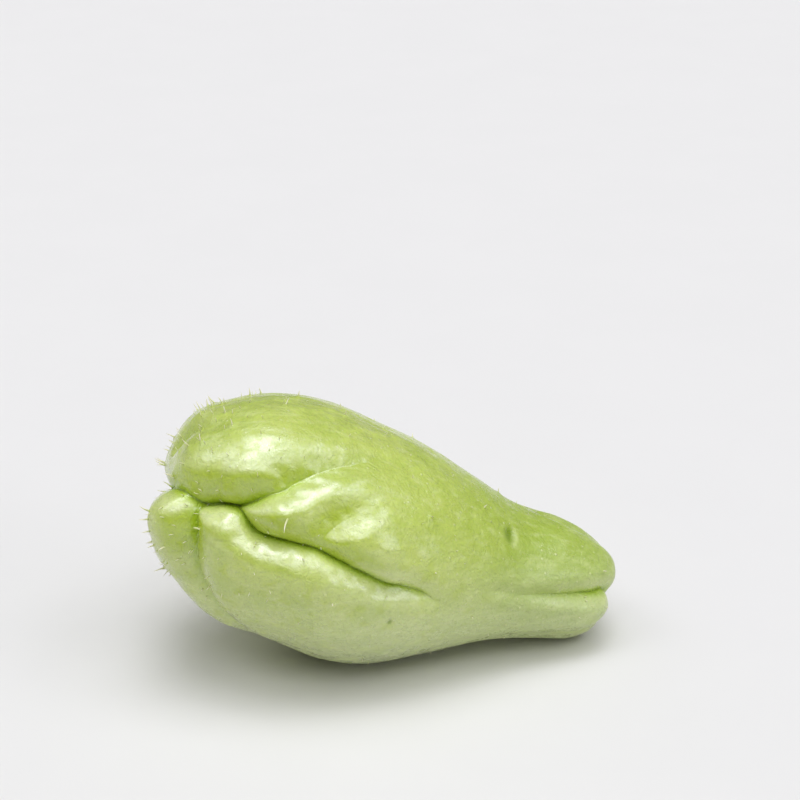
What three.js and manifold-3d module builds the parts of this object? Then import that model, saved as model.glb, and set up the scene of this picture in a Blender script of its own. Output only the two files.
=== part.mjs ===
// Chayote lying on its side: one solid, a pear-shaped fruit with deep lengthwise folds and short spines.
// Millimetres, +Z up. +X runs from the blossom end to the stem end, and -Y is the front.
// The origin is on the floor, under the middle of the fruit.

import Module from 'manifold-3d';
import * as THREE from 'three';
import { mergeVertices } from 'three/addons/utils/BufferGeometryUtils.js';

// Sections of the smooth body, evenly spaced along its outline:
// distance from the blossom end, half width, height above the axis, depth below the axis
const SECTIONS = [
  [0, 0, 0, 0],
  [3, 21, 21.5, 18],
  [13, 30.5, 30.5, 26],
  [28, 38, 36.4, 33.5],
  [45, 41.5, 37.9, 37.5],
  [62, 41.5, 35.1, 40.5],
  [79, 37.5, 32, 38],
  [96, 31, 26.5, 32],
  [113, 25, 21.2, 24],
  [129, 21.5, 20.3, 19.5],
  [142, 18, 17.2, 16.8],
  [149, 11.5, 12.5, 11],
  [150, 0, 0, 0],
];
// Sections mirrored past the two ends, which close the body round there
const BEFORE_FIRST = [3, -21, -21.5, -18];
const AFTER_LAST = [149, -11.5, -12.5, -11];

// The skin faces away from this stretch of the axis
const CORE_START = 34;
const CORE_END = 132;

// Folds in the skin. Each point of a path is: distance from the blossom end, degrees round the axis
// (0 front, 90 top, 180 back, 270 underside), depth of the fold there.
// reach: how far the skin dips on the left and on the right of the path
// sharp: 1 for a cut, 0 for a soft valley, at the start and the end of the path
// lean and rise: how far the skin beside it leans over the fold and swells, left and right
// gap: half the width of its bottom
const FOLDS = {
  mouth: {
    reach: [19, 15],
    sharp: [1, 1],
    lean: [1.4, 0.6],
    rise: [1.7, 0.4],
    gap: 0.5,
    path: [
      [34, 203, 0], [24, 201, 2.5], [15, 208, 5], [7, 203, 5.5], [2.5, 206, 5], [0, 0, 4.5],
      [2.5, 24, 5.5], [6, 19, 8.5], [11, 23, 9.5], [16, 25.5, 8.5], [21, 29, 6], [26, 33, 3],
    ],
  },
  underUpperLobe: {
    reach: [17, 12],
    sharp: [0.9, 0],
    lean: [0.6, 0],
    rise: [1.3, 0.3],
    path: [
      [17, 26, 6], [21, 29, 6.5], [26, 33, 5.5], [31, 37.5, 4.4], [35.4, 44.2, 3.5],
      [42.3, 52.4, 2.6], [50, 59.2, 1.8], [58, 67, 1], [67, 76, 0],
    ],
  },
  frontSeam: {
    reach: [13, 13],
    sharp: [1, 0.7],
    lean: [1.3, 0.5],
    rise: [0.7, 0.9],
    gap: 0.2,
    path: [
      [12, 23, 5], [18, 21.5, 6.5], [20.8, 18.5, 7.5], [23.2, 15.2, 8], [26.6, 12.7, 8],
      [33, 12.9, 7.5], [39, 13.5, 7], [45, 13.7, 6.5], [50, 12, 6.5], [56, 10, 6], [62, 7.5, 5.5],
      [68, 4.5, 5], [73, 4.7, 4], [79, 3.4, 2.8], [84, 0.5, 1.5], [91, -4, 0],
    ],
  },
  frontLobes: {
    reach: [12, 12],
    sharp: [1, 0.2],
    lean: [0.8, 0.4],
    rise: [0.4, 0.5],
    gap: 0.2,
    path: [
      [5.8, 19, 5], [6.3, 10, 7], [7.4, 1, 6.5], [8.6, -9, 6], [10.1, -19, 5], [13, -30, 4],
      [19, -41, 3], [27, -49, 2.2], [36, -58, 1.2], [45, -66, 0],
    ],
  },
  knuckle: {
    reach: [11, 11],
    sharp: [0.3, 0],
    path: [[40, 15, 1.5], [44, 19.5, 2.8], [47, 26, 2.6], [50, 31, 2], [54, 37, 1.3], [60, 43, 0]],
  },
  neckFront: {
    reach: [8, 8],
    sharp: [0.3, 1],
    rise: [0.3, 0.3],
    path: [
      [96, 9, 0], [106, 9.5, 0.7], [115, 8.3, 1.1], [123, 11.3, 1.7], [130, 14.2, 2.4],
      [136, 18, 3.2], [142, 21.5, 4], [148, 28, 3.8], [150, 0, 1.8],
    ],
  },
  neckTop: {
    reach: [8, 8],
    sharp: [0, 0.8],
    path: [[112, 112, 0], [122, 103, 0.8], [131, 98, 1.3], [140, 100, 1.8], [147, 102, 2.4], [150, 0, 2]],
  },
  neckBack: {
    reach: [9, 9],
    sharp: [0.1, 0.9],
    path: [[96, 180, 0], [112, 184, 1.2], [126, 187, 2], [138, 190, 3], [146, 192, 3.6], [150, 0, 2.4]],
  },
  neckUnder: {
    reach: [8, 8],
    sharp: [0.1, 0.8],
    path: [[108, 255, 0], [122, 252, 0.9], [134, 250, 1.6], [144, 248, 2.4], [150, 0, 1.4]],
  },
  neckLow: {
    reach: [8, 8],
    sharp: [0, 0.8],
    path: [[112, 318, 0], [124, 318, 0.6], [134, 320, 1], [144, 323, 1.3], [150, 0, 1]],
  },
  backSeam: {
    reach: [15, 15],
    sharp: [0.9, 0.1],
    rise: [0.5, 0.5],
    path: [
      [22, 204, 3], [34, 200, 4.5], [48, 197, 4.6], [62, 199, 4],
      [76, 196, 3], [90, 192, 2], [104, 188, 1], [116, 186, 0],
    ],
  },
  backUpper: {
    reach: [14, 14],
    sharp: [0.9, 0],
    rise: [0.4, 0.4],
    path: [
      [6, 178, 3], [14, 160, 4.2], [24, 148, 4], [36, 141, 3], [50, 136, 2.2], [66, 132, 1.2], [84, 128, 0],
    ],
  },
  backLower: {
    reach: [13, 13],
    sharp: [0.8, 0],
    path: [[8, 222, 3], [16, 236, 4], [26, 246, 3.2], [40, 250, 2], [56, 252, 1.2], [74, 254, 0]],
  },
  puckerTop: {
    reach: [7, 7],
    sharp: [0.8, 0.1],
    path: [[0.8, 96, 2.6], [3, 86, 2.2], [7, 76, 1.4], [14, 70, 0]],
  },
  puckerBack: {
    reach: [7, 7],
    sharp: [0.8, 0.1],
    path: [[1.6, 172, 3.2], [4, 160, 2.4], [9, 152, 1.2], [16, 148, 0]],
  },
  puckerLow: {
    reach: [8, 8],
    sharp: [0.8, 0.1],
    path: [[0.8, 225, 3.2], [3, 262, 2.8], [8, 272, 1.8], [15, 276, 0]],
  },
};
const FOLD_PUFF = 1.6; // how round the skin rolls into a sharp fold
const FOLD_STEPS = 8; // straight stretches between two points of a path
const NARROWEST = 0.4; // share of its reach that a fold keeps where it runs out

// Swellings of the skin: distance from the blossom end, degrees round the axis, radius, height
const SWELLINGS = [
  [20, 58, 20, 1.6],
  [30, 27, 8.5, 2.8],
  [62, 26, 15, 2],
  [44, 0, 16, 1.6],
  [1.5, -2, 14, 5.6],
  [60, 265, 20, 3],
  [24, 300, 21, 2.7],
  [134, 268, 12, 1.3],
  [76, 300, 16, 1],
];
const SWELLING_FALL = 1.6;

// How the fruit lies: the stem end tips down until belly and neck both touch the floor
const TURNING_POINT = 60; // on the axis, from the blossom end
const TIP_DOWN = 18.8; // degrees
const FLATTENED = 0.6; // depth of skin pressed flat by the fruit's weight
const MIDDLE = [11.85, -0.7]; // of the fruit's box, seen from the turning point

// Facets along and round the fruit, and how they crowd towards the folds
const FACETS_ALONG = 40;
const FACETS_AROUND = 24;
const CROWDED_WITHIN = 6;
const CROWDING_POWER = 1.8;
const CROWDING_DEPTH = 2; // a fold this deep or deeper draws them fully

// Spines in front: distance from the blossom end, degrees round the axis, length,
// lean to the stem end, lean up round the fruit
const FRONT_SPINES = [
  [3, 183, 4.6, -0.2, 0], [3, 171, 3.4, 0, 0.3], [2, 146, 3, -0.2, 0.4], [0.6, 162, 3.2, 0, 0],
  [1.2, 41, 2.8, -0.3, 0], [0.8, 26, 3.4, 0, 0.3], [1.2, -6, 4, -0.2, 0.5], [1.4, -15, 3, 0, 0],
  [2, -25, 2.4, -0.2, -0.1], [3, -37, 2.2, 0, -0.2], [8.6, 1, 4.2, 1.6, 0.2], [33, 25, 4.6, -0.2, -1.6],
  [20, 109, 2.2, 0, 0], [9, 102, 3, 0, 0.2], [53, -7, 1.2, 0, 0], [41, 8, 1.2, 0, 0],
  [82, 17, 1, 0, 0], [6, 62, 2, 0.3, 0.6], [14, 70, 1.8, 0, 0.5],
];
// Patches with spines elsewhere: first and last distance from the blossom end, first and last
// degrees round the axis, number of spines, shortest and longest length
const SPINE_PATCHES = [
  [1.5, 9, 60, 340, 14, 2, 3.8],
  [9, 20, 80, 235, 9, 1.8, 3.2],
  [20, 44, 70, 210, 7, 1.6, 2.6],
  [44, 90, 40, 200, 5, 1.2, 2],
  [90, 146, 20, 200, 5, 1, 1.6],
];
const SPINE_SEED = 20;
const SPINE_RADIUS = 0.42;
const SPINE_SIDES = 3;
const SPINE_ROOT = 1.5; // sunk in the skin
const SPINE_LEAN = 0.45; // sideways share of its direction, at most
const SPINE_CLEARANCE = 11; // height of the lowest spine tip above the floor

const SKIN = { color: 0xb9cb76, roughness: 0.38, metalness: 0 };

const wasm = await Module();
wasm.setup();

const degrees = THREE.MathUtils.degToRad;
const clamp = THREE.MathUtils.clamp;
const lerp = THREE.MathUtils.lerp;

// A smooth curve through rows of numbers. The first and last row only steer it.
function curveThrough(rows, at) {
  const i = clamp(Math.floor(at), 0, rows.length - 4);
  const f = at - i;
  const [a, b, c, d] = rows.slice(i, i + 4);
  return b.map((_, k) => 0.5 * (2 * b[k] + (c[k] - a[k]) * f
    + (2 * a[k] - 5 * b[k] + 4 * c[k] - d[k]) * f ** 2
    + (3 * b[k] - a[k] - 3 * c[k] + d[k]) * f ** 3));
}

const SECTION_ROWS = [BEFORE_FIRST, ...SECTIONS, AFTER_LAST];

// A point of the smooth body: outline is 0 at the blossom end and 1 at the stem end
function bodyPoint(outline, angle) {
  const [x, side, top, bottom] = curveThrough(SECTION_ROWS, outline * (SECTIONS.length - 1));
  const height = Math.sin(angle) > 0 ? top : bottom;
  return new THREE.Vector3(x, -side * Math.cos(angle), height * Math.sin(angle));
}

// Where the outline is this far from the blossom end, by halving
function outlineAt(x) {
  let [low, high] = [0, 1];
  for (let step = 0; step < 30; step += 1) {
    const middle = (low + high) / 2;
    if (curveThrough(SECTION_ROWS, middle * (SECTIONS.length - 1))[0] < x) {
      low = middle;
    } else {
      high = middle;
    }
  }
  return (low + high) / 2;
}

function skinPoint(x, angleDegrees) {
  return bodyPoint(outlineAt(x), degrees(angleDegrees));
}

function outwardAt(point) {
  const core = new THREE.Vector3(clamp(point.x, CORE_START, CORE_END), 0, 0);
  return point.clone().sub(core).normalize();
}

// A fold's path as short straight stretches on the smooth body
function foldStretches(fold) {
  const rows = fold.path.map(([x, angle, depth]) => [...skinPoint(x, angle).toArray(), depth]);
  const beyond = (end, next) => end.map((value, k) => 2 * value - next[k]);
  const steered = [beyond(rows[0], rows[1]), ...rows, beyond(rows.at(-1), rows.at(-2))];
  const count = (rows.length - 1) * FOLD_STEPS;
  const points = [];
  for (let i = 0; i <= count; i += 1) {
    const [x, y, z, depth] = curveThrough(steered, i / FOLD_STEPS);
    points.push({ at: new THREE.Vector3(x, y, z), depth: Math.max(depth, 0), along: i / count });
  }
  const stretches = [];
  for (let i = 0; i < count; i += 1) {
    const direction = points[i + 1].at.clone().sub(points[i].at);
    const length = direction.length();
    stretches.push({ from: points[i], to: points[i + 1], direction: direction.normalize(), length });
  }
  return stretches;
}

const FOLD_LIST = Object.values(FOLDS).map((fold) => {
  const stretches = foldStretches(fold);
  const box = new THREE.Box3().setFromPoints(stretches.flatMap((s) => [s.from.at, s.to.at]));
  const deepest = Math.max(...stretches.flatMap((s) => [s.from.depth, s.to.depth]));
  return { lean: [0, 0], rise: [0, 0], gap: 0, ...fold, stretches, box, deepest };
});

// Distance from a point to a fold, with the fold's depth, place and side there. Each stretch counts by
// the integral of 1 / distance ** 4 along it, so the nearest leads and nothing jumps between two of them.
function nearFold(point, outward, stretches) {
  const sum = { weight: 0, depth: 0, along: 0, left: 0, away: new THREE.Vector3() };
  for (const { from, to, direction, length } of stretches) {
    const back = from.at.clone().sub(point);
    const start = back.dot(direction);
    const end = start + length;
    const h2 = Math.max(back.lengthSq() - start * start, 1e-4);
    const h = Math.sqrt(h2);
    const weight = (end / (end * end + h2) - start / (start * start + h2)) / (2 * h2)
      + (Math.atan(end / h) - Math.atan(start / h)) / (2 * h2 * h);
    const f = clamp(-start / length, 0, 1);
    const away = point.clone().sub(from.at).addScaledVector(direction, -f * length);
    const side = direction.clone().cross(away).dot(outward) / Math.max(away.length(), 1e-9);
    sum.weight += weight;
    sum.depth += weight * lerp(from.depth, to.depth, f);
    sum.along += weight * lerp(from.along, to.along, f);
    sum.left += weight * side;
    sum.away.addScaledVector(away, weight);
  }
  return {
    distance: Math.cbrt(Math.PI / 2 / sum.weight),
    depth: sum.depth / sum.weight,
    along: sum.along / sum.weight,
    left: sum.left / sum.weight,
    away: sum.away.normalize(),
  };
}

// The real skin over a point of the smooth body: folded in, swollen out, lips leaning over the folds
function skinOver(point) {
  const outward = outwardAt(point);
  const skin = point.clone();
  let cubes = 0;
  for (const fold of FOLD_LIST) {
    const margin = Math.max(...fold.reach) * 1.3;
    if (fold.box.clone().expandByScalar(margin).containsPoint(point)) {
      const near = nearFold(point, outward, fold.stretches);
      const left = clamp(near.left * 0.75 + 0.5, 0, 1);
      const share = near.depth / fold.deepest;
      const reach = lerp(fold.reach[1], fold.reach[0], left) * lerp(NARROWEST, 1, share);
      const lean = lerp(fold.lean[1], fold.lean[0], left) * share;
      const rise = lerp(fold.rise[1], fold.rise[0], left) * share;
      const u = clamp((near.distance - fold.gap * share) / reach, 0, 1);
      const cut = 1 - (1 - (1 - u) ** FOLD_PUFF) ** (1 / FOLD_PUFF);
      const valley = (1 - u * u) ** 2;
      const form = lerp(valley, cut, lerp(fold.sharp[0], fold.sharp[1], near.along));
      cubes += (near.depth * form) ** 3;
      const lip = 6.75 * u * (1 - u) ** 2;
      const brow = 16 * (u * (1 - u)) ** 2;
      skin.addScaledVector(near.away, -lean * lip);
      skin.addScaledVector(outward, rise * brow);
    }
  }
  skin.addScaledVector(outward, -Math.cbrt(cubes));
  for (const { middle, radius, height } of SWELLING_LIST) {
    const fall = SWELLING_FALL * point.distanceToSquared(middle) / radius ** 2;
    skin.addScaledVector(outward, height * Math.exp(-fall));
  }
  return skin;
}

const SWELLING_LIST = SWELLINGS.map(([x, angle, radius, height]) => (
  { middle: skinPoint(x, angle), radius, height }
));

// Draws a point near a fold towards the nearest one, so that the facets are smallest there
function crowd(point) {
  let best = { distance: CROWDED_WITHIN };
  for (const { stretches, box } of FOLD_LIST) {
    if (!box.clone().expandByScalar(CROWDED_WITHIN).containsPoint(point)) {
      continue;
    }
    for (const { from, to, direction, length } of stretches) {
      const f = clamp(point.clone().sub(from.at).dot(direction) / length, 0, 1);
      const foot = from.at.clone().addScaledVector(direction, f * length);
      const distance = foot.distanceTo(point);
      if (distance < best.distance) {
        best = { distance, foot, depth: lerp(from.depth, to.depth, f) };
      }
    }
  }
  if (best.foot && best.distance > 1e-3) {
    const power = lerp(1, CROWDING_POWER, clamp(best.depth / CROWDING_DEPTH, 0, 1));
    const closer = CROWDED_WITHIN * (best.distance / CROWDED_WITHIN) ** power;
    point.sub(best.foot).multiplyScalar(closer / best.distance).add(best.foot);
  }
  return point;
}

// From the fruit's own axis to how it lies
function laid(point) {
  return point.clone()
    .sub(new THREE.Vector3(TURNING_POINT, 0, 0))
    .applyAxisAngle(new THREE.Vector3(0, 1, 0), degrees(TIP_DOWN));
}

// The lying skin over a point of a box, which is blown up to a ball and then to the fruit.
// A box's grid gives even facets with no pole.
function skinOverBox(corner) {
  const ball = new THREE.Vector3(...corner.toArray().map((v) => Math.tan(v * Math.PI / 4))).normalize();
  const outline = Math.acos(clamp(-ball.x, -1, 1)) / Math.PI;
  return laid(skinOver(crowd(bodyPoint(outline, Math.atan2(ball.z, -ball.y)))));
}

// The fruit's skin as a closed geometry, and how far it was lifted to lie on the floor
function skinGeometry() {
  const geometry = new THREE.BoxGeometry(2, 2, 2, FACETS_ALONG, FACETS_AROUND, FACETS_AROUND);
  geometry.deleteAttribute('normal');
  geometry.deleteAttribute('uv');
  const skin = mergeVertices(geometry, 1e-5);
  const position = skin.getAttribute('position');
  const corners = Array.from({ length: position.count }, (_, i) => (
    new THREE.Vector3().fromBufferAttribute(position, i)
  ));
  const points = corners.map(skinOverBox);
  turnDiagonals(skin.index.array, corners, points);
  const lift = -Math.min(...points.map((p) => p.z)) - FLATTENED;
  points.forEach((p, i) => position.setXYZ(i, p.x, p.y, Math.max(p.z + lift, 0)));
  skin.clearGroups();
  return { skin, lift };
}

// Cuts each square of the grid along the diagonal that lies closer to the skin over its middle
function turnDiagonals(index, corners, points) {
  for (let first = 0; first < index.length; first += 6) {
    const [a, b, d, , c] = index.slice(first, first + 6);
    const middle = skinOverBox(new THREE.Vector3()
      .add(corners[a]).add(corners[b]).add(corners[c]).add(corners[d]).divideScalar(4));
    const missed = (i, j) => points[i].clone().lerp(points[j], 0.5).distanceTo(middle);
    if (missed(a, c) < missed(b, d)) {
      index.set([a, b, c, a, c, d], first);
    }
  }
}

// Seeded draws between 0 and 1
function drawFrom(seed) {
  let state = seed;
  return () => {
    state = (state * 1664525 + 1013904223) % 4294967296;
    return state / 4294967296;
  };
}

// Where the spines of the patches start, with their length and lean
function patchSpines() {
  const draw = drawFrom(SPINE_SEED);
  const leaning = () => SPINE_LEAN * (2 * draw() - 1);
  return SPINE_PATCHES.flatMap(([x0, x1, a0, a1, count, shortest, longest]) => (
    Array.from({ length: count }, (_, i) => [
      lerp(x0, x1, draw()),
      lerp(a0, a1, (i + draw()) / count),
      lerp(shortest, longest, draw()),
      leaning(),
      leaning(),
    ])
  ));
}

// Root, direction and length of each spine, in the lying fruit's frame
function spines(lift) {
  const found = [];
  for (const [x, angle, length, toStem, up] of [...FRONT_SPINES, ...patchSpines()]) {
    const smooth = skinPoint(x, angle);
    const turn = degrees(angle);
    const direction = outwardAt(smooth)
      .add(new THREE.Vector3(toStem, up * Math.sin(turn), up * Math.cos(turn)))
      .normalize();
    const skin = skinOver(smooth);
    const root = laid(skin);
    root.z += lift;
    const tip = laid(skin.clone().addScaledVector(direction, length));
    tip.z += lift;
    if (tip.z > SPINE_CLEARANCE) {
      found.push({ root, direction: tip.sub(root).normalize(), length });
    }
  }
  return found;
}

function spineGeometry({ root, direction, length }) {
  const height = length + SPINE_ROOT;
  const cone = new THREE.ConeGeometry(SPINE_RADIUS, height, SPINE_SIDES);
  cone.translate(0, height / 2 - SPINE_ROOT, 0);
  cone.applyQuaternion(new THREE.Quaternion().setFromUnitVectors(new THREE.Vector3(0, 1, 0), direction));
  cone.translate(...root.toArray());
  cone.deleteAttribute('normal');
  cone.deleteAttribute('uv');
  return mergeVertices(cone, 1e-5);
}

function solidFrom(geometry) {
  return new wasm.Manifold(new wasm.Mesh({
    numProp: 3,
    vertProperties: new Float32Array(geometry.getAttribute('position').array),
    triVerts: new Uint32Array(geometry.index.array),
  }));
}

function geometryFrom(solid) {
  const mesh = solid.getMesh();
  const geometry = new THREE.BufferGeometry();
  geometry.setAttribute('position', new THREE.BufferAttribute(new Float32Array(mesh.vertProperties), 3));
  geometry.setIndex(new THREE.BufferAttribute(new Uint32Array(mesh.triVerts), 1));
  geometry.computeVertexNormals();
  return geometry;
}

function chayoteFruit() {
  const { skin, lift } = skinGeometry();
  const spined = wasm.Manifold.union([
    solidFrom(skin),
    ...spines(lift).map((spine) => solidFrom(spineGeometry(spine))),
  ]);
  const geometry = geometryFrom(spined);
  geometry.translate(-MIDDLE[0], -MIDDLE[1], 0);
  const mesh = new THREE.Mesh(geometry, new THREE.MeshStandardMaterial(SKIN));
  mesh.name = 'chayote_fruit';
  return mesh;
}

const chayote = new THREE.Group();
chayote.add(chayoteFruit());

export default chayote;
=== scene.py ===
# Chayote lying on its side: the fine skin with its folds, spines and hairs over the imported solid,
# and a plain studio round it. Laid out as an add-on and run as a script.
# The fruit's own shape is in millimetres, and everything placed in the scene is in metres.

import math

import bpy
import numpy as np
from bpy.props import FloatProperty, FloatVectorProperty, IntProperty, PointerProperty
from bpy.types import Operator, Panel, PropertyGroup
from mathutils import Matrix, Vector, noise


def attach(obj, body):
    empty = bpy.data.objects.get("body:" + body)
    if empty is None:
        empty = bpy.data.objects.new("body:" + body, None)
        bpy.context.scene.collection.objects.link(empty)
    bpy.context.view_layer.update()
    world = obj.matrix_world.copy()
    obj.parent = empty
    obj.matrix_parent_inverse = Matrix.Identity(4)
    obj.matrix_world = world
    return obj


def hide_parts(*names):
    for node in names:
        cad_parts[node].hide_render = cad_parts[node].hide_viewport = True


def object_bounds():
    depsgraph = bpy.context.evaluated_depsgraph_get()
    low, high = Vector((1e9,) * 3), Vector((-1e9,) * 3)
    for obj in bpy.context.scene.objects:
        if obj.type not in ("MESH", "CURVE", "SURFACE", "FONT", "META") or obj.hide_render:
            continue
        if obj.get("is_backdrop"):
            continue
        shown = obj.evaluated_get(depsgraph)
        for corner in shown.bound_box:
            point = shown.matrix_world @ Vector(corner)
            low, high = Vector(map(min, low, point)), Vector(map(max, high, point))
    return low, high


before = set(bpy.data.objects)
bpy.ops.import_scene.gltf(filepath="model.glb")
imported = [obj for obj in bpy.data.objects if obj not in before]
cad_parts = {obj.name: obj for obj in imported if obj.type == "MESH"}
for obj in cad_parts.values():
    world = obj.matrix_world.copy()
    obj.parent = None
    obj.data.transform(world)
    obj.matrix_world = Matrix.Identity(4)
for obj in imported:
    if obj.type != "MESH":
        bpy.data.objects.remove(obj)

bl_info = {
    "name": "Chayote",
    "version": (1, 0, 0),
    "blender": (4, 5, 0),
    "location": "View3D > Sidebar > Chayote",
    "description": "Waxy skin, spines and a plain studio for a chayote lying on its side",
    "category": "Object",
}

MM = 0.001
NODE = "chayote_fruit"
CAD_LOW, CAD_HIGH = (np.array(corner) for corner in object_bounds())


def linear(red, green, blue):
    """A colour given as 0 to 255 on a screen, as the shaders want it."""
    return tuple(
        v / 12.92 if v <= 0.04045 else ((v + 0.055) / 1.055) ** 2.4
        for v in (red / 255, green / 255, blue / 255)
    )


# The fruit's own shape
# Sections evenly spaced along the outline:
# distance from the blossom end, half width, height above the axis, depth below the axis
SECTIONS = [
    (0, 0, 0, 0),
    (3, 21, 21.5, 18),
    (13, 30.5, 30.5, 26),
    (28, 38, 36.4, 33.5),
    (45, 41.5, 37.9, 37.5),
    (62, 41.5, 35.1, 40.5),
    (79, 37.5, 32, 38),
    (96, 31, 26.5, 32),
    (113, 25, 21.2, 24),
    (129, 21.5, 20.3, 19.5),
    (142, 18, 17.2, 16.8),
    (149, 11.5, 12.5, 11),
    (150, 0, 0, 0),
]
BEFORE_FIRST = (3, -21, -21.5, -18)
AFTER_LAST = (149, -11.5, -12.5, -11)
CORE_START = 34
CORE_END = 132
OUTLINE_POINTS = 4001

# Folds. A path is distance from the blossom end, degrees round the axis and depth of the fold there.
# reach: how far the skin dips on the left and on the right of the path
# sharp: 1 for a cut, 0 for a soft valley, at the start and the end of the path
# lean and rise: how far the skin beside it leans over the fold and swells, left and right
# gap: half the width of its bottom
FOLDS = {
    "mouth": dict(
        reach=(19, 15), sharp=(1, 1), lean=(1.4, 0.6), rise=(1.7, 0.4), gap=0.5,
        path=[(34, 203, 0), (24, 201, 2.5), (15, 208, 5), (7, 203, 5.5), (2.5, 206, 5), (0, 0, 4.5),
              (2.5, 24, 5.5), (6, 19, 8.5), (11, 23, 9.5), (16, 25.5, 8.5), (21, 29, 6), (26, 33, 3)],
    ),
    "under_upper_lobe": dict(
        reach=(17, 12), sharp=(0.9, 0), lean=(0.6, 0), rise=(1.3, 0.3),
        path=[(17, 26, 6), (21, 29, 6.5), (26, 33, 5.5), (31, 37.5, 4.4), (35.4, 44.2, 3.5),
              (42.3, 52.4, 2.6), (50, 59.2, 1.8), (58, 67, 1), (67, 76, 0)],
    ),
    "front_seam": dict(
        reach=(13, 13), sharp=(1, 0.7), lean=(1.3, 0.5), rise=(0.7, 0.9), gap=0.2,
        path=[(12, 23, 5), (18, 21.5, 6.5), (20.8, 18.5, 7.5), (23.2, 15.2, 8), (26.6, 12.7, 8),
              (33, 12.9, 7.5), (39, 13.5, 7), (45, 13.7, 6.5), (50, 12, 6.5), (56, 10, 6), (62, 7.5, 5.5),
              (68, 4.5, 5), (73, 4.7, 4), (79, 3.4, 2.8), (84, 0.5, 1.5), (91, -4, 0)],
    ),
    "front_lobes": dict(
        reach=(12, 12), sharp=(1, 0.2), lean=(0.8, 0.4), rise=(0.4, 0.5), gap=0.2,
        path=[(5.8, 19, 5), (6.3, 10, 7), (7.4, 1, 6.5), (8.6, -9, 6), (10.1, -19, 5), (13, -30, 4),
              (19, -41, 3), (27, -49, 2.2), (36, -58, 1.2), (45, -66, 0)],
    ),
    "knuckle": dict(
        reach=(11, 11), sharp=(0.3, 0),
        path=[(40, 15, 1.5), (44, 19.5, 2.8), (47, 26, 2.6), (50, 31, 2), (54, 37, 1.3), (60, 43, 0)],
    ),
    "neck_front": dict(
        reach=(8, 8), sharp=(0.3, 1), rise=(0.3, 0.3),
        path=[(96, 9, 0), (106, 9.5, 0.7), (115, 8.3, 1.1), (123, 11.3, 1.7), (130, 14.2, 2.4),
              (136, 18, 3.2), (142, 21.5, 4), (148, 28, 3.8), (150, 0, 1.8)],
    ),
    "neck_top": dict(
        reach=(8, 8), sharp=(0, 0.8),
        path=[(112, 112, 0), (122, 103, 0.8), (131, 98, 1.3), (140, 100, 1.8), (147, 102, 2.4),
              (150, 0, 2)],
    ),
    "neck_back": dict(
        reach=(9, 9), sharp=(0.1, 0.9),
        path=[(96, 180, 0), (112, 184, 1.2), (126, 187, 2), (138, 190, 3), (146, 192, 3.6), (150, 0, 2.4)],
    ),
    "neck_under": dict(
        reach=(8, 8), sharp=(0.1, 0.8),
        path=[(108, 255, 0), (122, 252, 0.9), (134, 250, 1.6), (144, 248, 2.4), (150, 0, 1.4)],
    ),
    "neck_low": dict(
        reach=(8, 8), sharp=(0, 0.8),
        path=[(112, 318, 0), (124, 318, 0.6), (134, 320, 1), (144, 323, 1.3), (150, 0, 1)],
    ),
    "back_seam": dict(
        reach=(15, 15), sharp=(0.9, 0.1), rise=(0.5, 0.5),
        path=[(22, 204, 3), (34, 200, 4.5), (48, 197, 4.6), (62, 199, 4),
              (76, 196, 3), (90, 192, 2), (104, 188, 1), (116, 186, 0)],
    ),
    "back_upper": dict(
        reach=(14, 14), sharp=(0.9, 0), rise=(0.4, 0.4),
        path=[(6, 178, 3), (14, 160, 4.2), (24, 148, 4), (36, 141, 3), (50, 136, 2.2), (66, 132, 1.2),
              (84, 128, 0)],
    ),
    "back_lower": dict(
        reach=(13, 13), sharp=(0.8, 0),
        path=[(8, 222, 3), (16, 236, 4), (26, 246, 3.2), (40, 250, 2), (56, 252, 1.2), (74, 254, 0)],
    ),
    "pucker_top": dict(
        reach=(7, 7), sharp=(0.8, 0.1),
        path=[(0.8, 96, 2.6), (3, 86, 2.2), (7, 76, 1.4), (14, 70, 0)],
    ),
    "pucker_back": dict(
        reach=(7, 7), sharp=(0.8, 0.1),
        path=[(1.6, 172, 3.2), (4, 160, 2.4), (9, 152, 1.2), (16, 148, 0)],
    ),
    "pucker_low": dict(
        reach=(8, 8), sharp=(0.8, 0.1),
        path=[(0.8, 225, 3.2), (3, 262, 2.8), (8, 272, 1.8), (15, 276, 0)],
    ),
}
NEITHER = (0, 0)
FOLD_PUFF = 1.6
FOLD_STEPS = 8
NARROWEST = 0.4
REACH_MARGIN = 1.3
SIDE_SOFTNESS = 0.75
# Factors that bring the curves of a lip and of the swelling beside it to 1 at their highest
LIP_PEAK = 6.75
BROW_PEAK = 16
# How deep the skin is where the masks of the creases and the folds are full, and a crease's width. Both
# masks paint shade into the folds.
CREASE_DEPTH = 4
FOLD_DEPTH = 8
CREASE_WIDTH = 1.7

# Swellings: distance from the blossom end, degrees round the axis, radius, height
SWELLINGS = [
    (20, 58, 20, 1.6),
    (30, 27, 8.5, 2.8),
    (62, 26, 15, 2),
    (44, 0, 16, 1.6),
    (1.5, -2, 14, 5.6),
    (60, 265, 20, 3),
    (24, 300, 21, 2.7),
    (134, 268, 12, 1.3),
    (76, 300, 16, 1),
]
SWELLING_FALL = 1.6

# How the fruit lies
TURNING_POINT = 60
TIP_DOWN = 18.8
FLATTENED = 0.6
MIDDLE = (11.85, -0.7)

# Facets of the fine skin, and how they crowd towards the folds
FACETS_ALONG = 183
FACETS_AROUND = 101
CROWDED_WITHIN = 4
CROWDING_POWER = 1.5
CROWDING_DEPTH = 2

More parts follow.
